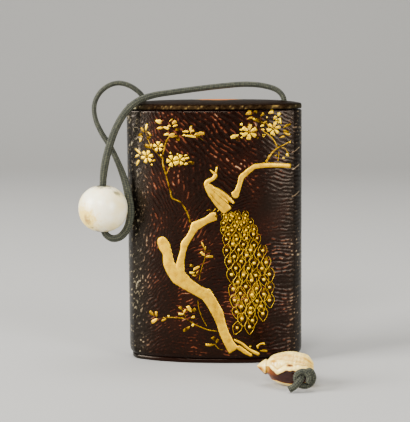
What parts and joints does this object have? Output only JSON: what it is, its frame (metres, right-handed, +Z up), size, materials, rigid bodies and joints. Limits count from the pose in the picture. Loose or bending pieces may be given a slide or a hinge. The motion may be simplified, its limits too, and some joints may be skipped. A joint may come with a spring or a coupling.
{
  "type": "inro case",
  "caption": "Standing lacquered inro case with a lift-off lid, a braided carrying cord through a round bead, and a shell toggle knotted on the cord's tail.",
  "frame": {"origin": "middle of the case's flat underside, on the surface it stands on", "axes": "+Z up along the case's height, -Y out of the decorated front, +X along its width towards the toggle"},
  "size_m": [0.081, 0.0627, 0.0963],
  "materials": {
    "lacquer": "polished near-black brown lacquer over wood, with red-brown streaks and fine raised ripples",
    "gold_picture": "sprinkled matt gold in low relief",
    "cord": "tightly braided waxed cord, grey-green",
    "bead": "smooth polished ivory-white with tea-coloured stains",
    "shell": "glossy cream shell with a red-brown mouth"
  },
  "bodies": {
    "root": {"case_body": "lacquer", "lid": "lacquer", "carrying_cord": "cord", "bead": "bead", "tail_cord": "cord", "shell_toggle": "shell", "end_knot": "cord"}
  },
  "joints": []
}
